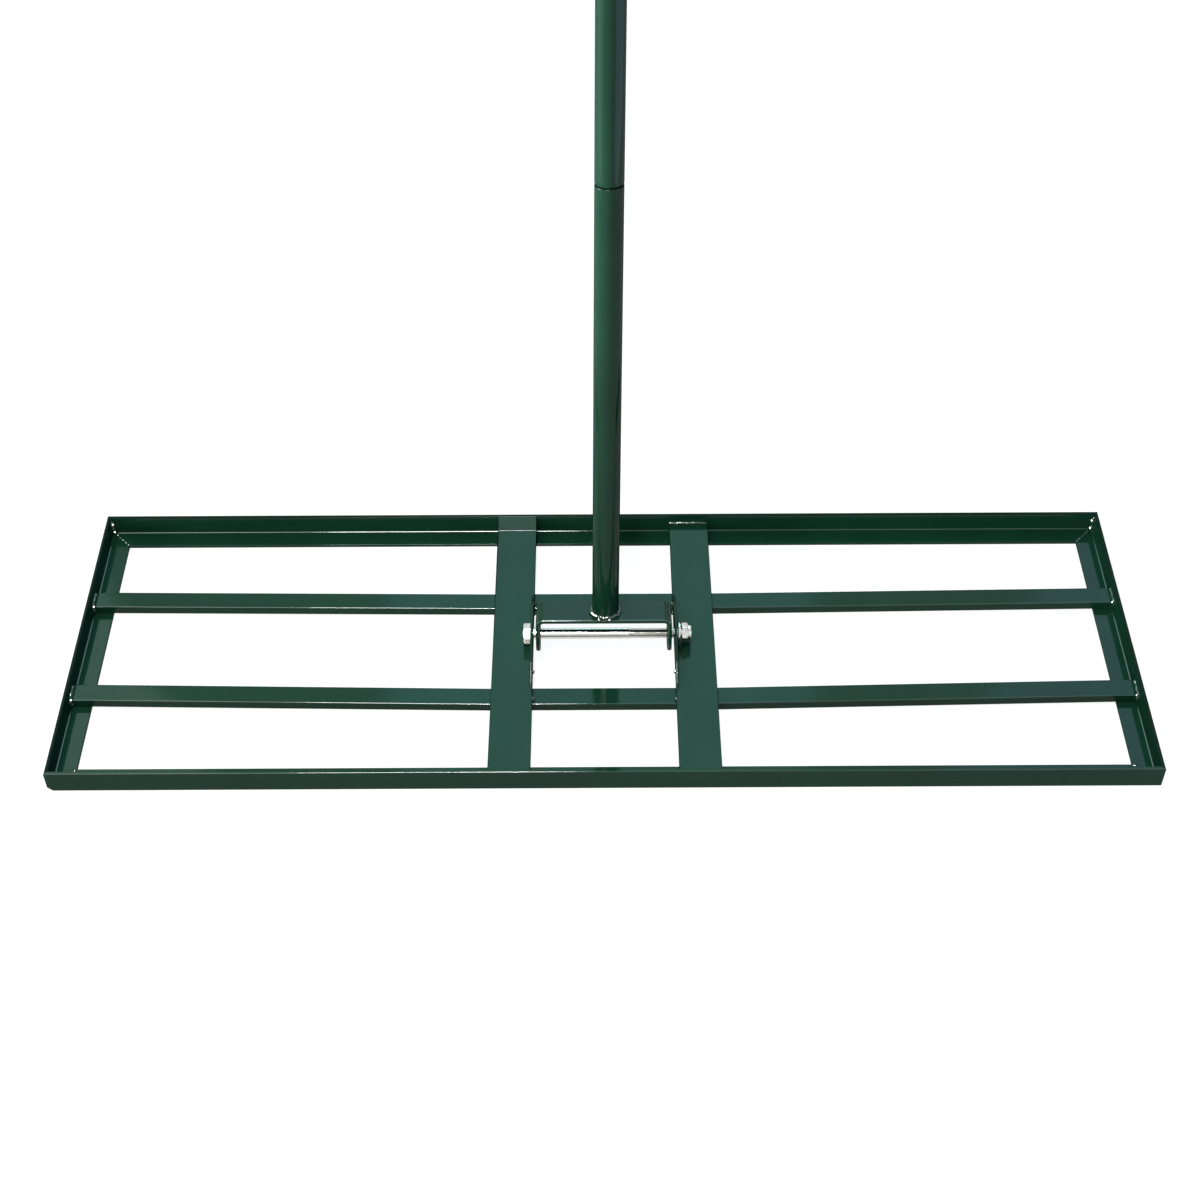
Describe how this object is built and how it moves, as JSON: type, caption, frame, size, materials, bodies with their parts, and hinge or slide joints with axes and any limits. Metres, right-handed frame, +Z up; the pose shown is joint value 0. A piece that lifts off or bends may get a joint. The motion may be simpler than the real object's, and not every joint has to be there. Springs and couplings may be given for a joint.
{
  "type": "lawn leveling rake",
  "caption": "Lawn leveling rake: a flat welded steel grid that drags and levels top dressing, on a long screw-together pole that swings on a cross bolt.",
  "frame": {"origin": "on the ground, in the middle of the front rail's flat sole", "axes": "+X to the right along the front rail, +Y from the front rail to the back rail and the way the pole leans, +Z up"},
  "size_m": [0.762, 0.5233, 1.8266],
  "materials": {
    "green_enamel": "gloss dark green powder coat over welded mild steel",
    "bright_zinc": "bright zinc plate on steel fasteners",
    "turned_steel": "plain turned steel",
    "nylon": "natural nylon",
    "foam": "black closed-cell foam rubber",
    "cap_plastic": "black moulded plastic"
  },
  "bodies": {
    "head": {"front_rail": "green_enamel", "back_rail": "green_enamel", "left_rail": "green_enamel", "right_rail": "green_enamel", "front_crossbar": "green_enamel", "back_crossbar": "green_enamel", "left_strap": "green_enamel", "right_strap": "green_enamel", "left_lug": "green_enamel", "right_lug": "green_enamel", "pivot_bolt": "bright_zinc", "pivot_washer": "bright_zinc", "pivot_nut": "bright_zinc", "nut_insert": "nylon"},
    "handle": {"pivot_yoke": "green_enamel", "pole_stub": "green_enamel", "lower_section": "green_enamel", "middle_section": "green_enamel", "upper_section": "green_enamel", "lower_stud": "turned_steel", "middle_stud": "turned_steel", "upper_stud": "turned_steel", "lower_socket": "turned_steel", "middle_socket": "turned_steel", "upper_socket": "turned_steel", "hand_grip": "foam", "end_cap": "cap_plastic"}
  },
  "joints": [
    {"name": "handle_swing", "type": "hinge", "parent": "head", "child": "handle", "pos_m": [0, 0.11825, 0.0195], "axis": [1, 0, 0], "range_deg": [-73, 97]}
  ]
}
